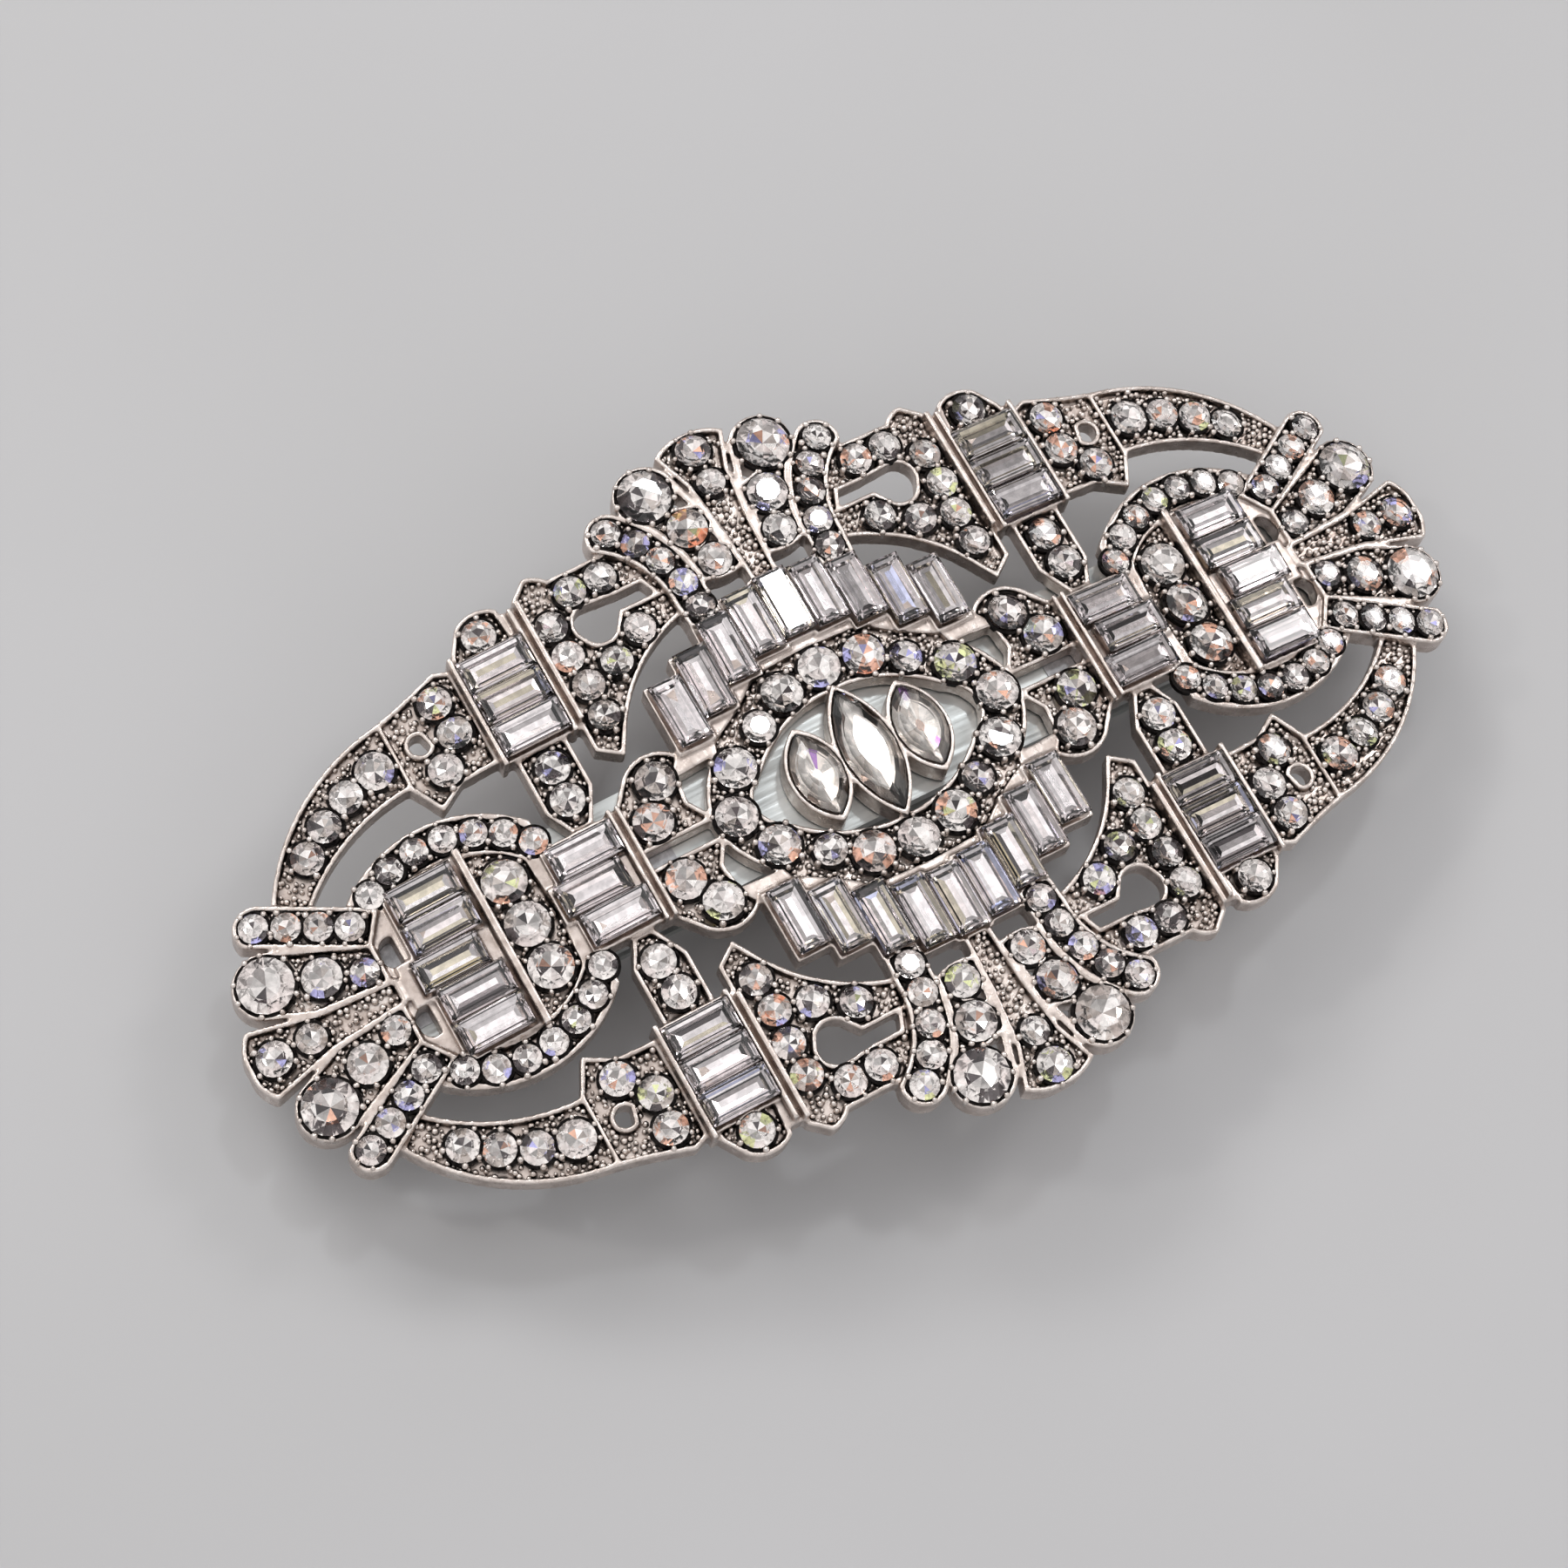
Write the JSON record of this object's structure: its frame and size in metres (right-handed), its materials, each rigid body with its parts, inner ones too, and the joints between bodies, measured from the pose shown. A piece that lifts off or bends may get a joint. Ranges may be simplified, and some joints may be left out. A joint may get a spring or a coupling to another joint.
{
  "type": "rhinestone hair clip",
  "caption": "Domed openwork cast plate set with round, baguette and navette stones, on a hinged barrette clip that snaps shut over the hair.",
  "frame": {"origin": "under the middle of the clip, at the lowest face of the closing arm", "axes": "+X along the length, towards the catch; +Z out of the decorated face; +Y across"},
  "size_m": [0.0998, 0.0566, 0.0146],
  "materials": {
    "antique_silver": "antiqued rhodium plate, dark in the recesses",
    "crystal": "clear brilliant-cut glass on silver foil",
    "baguette_crystal": "clear step-cut glass on silver foil",
    "navette_crystal": "clear navette-cut glass on silver foil",
    "plated_steel": "bright nickel plate with fine stamping lines",
    "spring_steel": "nickel-plated spring strip",
    "solder": "dull solder"
  },
  "bodies": {
    "plate": {"arch_baguettes": "baguette_crystal", "band_big_stones": "crystal", "band_stones": "crystal", "base_strip": "plated_steel", "bow_rivets": "plated_steel", "cap_stones": "crystal", "catch_base": "spring_steel", "centre_corner_stones": "crystal", "centre_navette": "navette_crystal", "centre_ring_stones": "crystal", "cluster_stones": "crystal", "column_stones": "crystal", "end_column_baguettes": "baguette_crystal", "end_fan_big_stones": "crystal", "end_fan_inner_stones": "crystal", "end_fan_middle_stones": "crystal", "end_fan_strip_stones": "crystal", "end_fan_tail_stones": "crystal", "end_fan_wedge_stones": "crystal", "filigree_plate": "antique_silver", "hinge_pin": "plated_steel", "inner_block_baguettes": "baguette_crystal", "leaf_stones": "crystal", "link_stones": "crystal", "medallion_ring_stones": "crystal", "outer_block_baguettes": "baguette_crystal", "shield_stones": "crystal", "side_fan_big_stones": "crystal", "side_fan_inner_stones": "crystal", "side_fan_middle_stones": "crystal", "side_fan_strip_stones": "crystal", "side_fan_tail_stones": "crystal", "side_fan_wedge_stones": "crystal", "side_navettes": "navette_crystal", "solder_pads": "solder"},
    "arm": {"closing_arm": "plated_steel"},
    "bow": {"tension_bow": "spring_steel"},
    "front_leg": {"front_catch_leg": "spring_steel"},
    "rear_leg": {"rear_catch_leg": "spring_steel"}
  },
  "joints": [
    {"name": "arm_hinge", "type": "hinge", "parent": "plate", "child": "arm", "pos_m": [-0.0385, 0.001, 0.0024], "axis": [0, 1, 0], "range_deg": [0, 70]},
    {"name": "bow_press", "type": "slide", "parent": "plate", "child": "bow", "axis": [0, 0, 1], "range_m": [0, 0.0011], "stiffness_N_per_m": 800},
    {"name": "front_leg_squeeze", "type": "hinge", "parent": "plate", "child": "front_leg", "pos_m": [0.0382, -0.0009, 0.00611], "axis": [1, 0, 0], "range_deg": [0, 9], "stiffness_Nm_per_rad": 0.1},
    {"name": "rear_leg_squeeze", "type": "hinge", "parent": "plate", "child": "rear_leg", "pos_m": [0.0382, 0.0029, 0.00611], "axis": [-1, 0, 0], "range_deg": [0, 9], "stiffness_Nm_per_rad": 0.1}
  ]
}
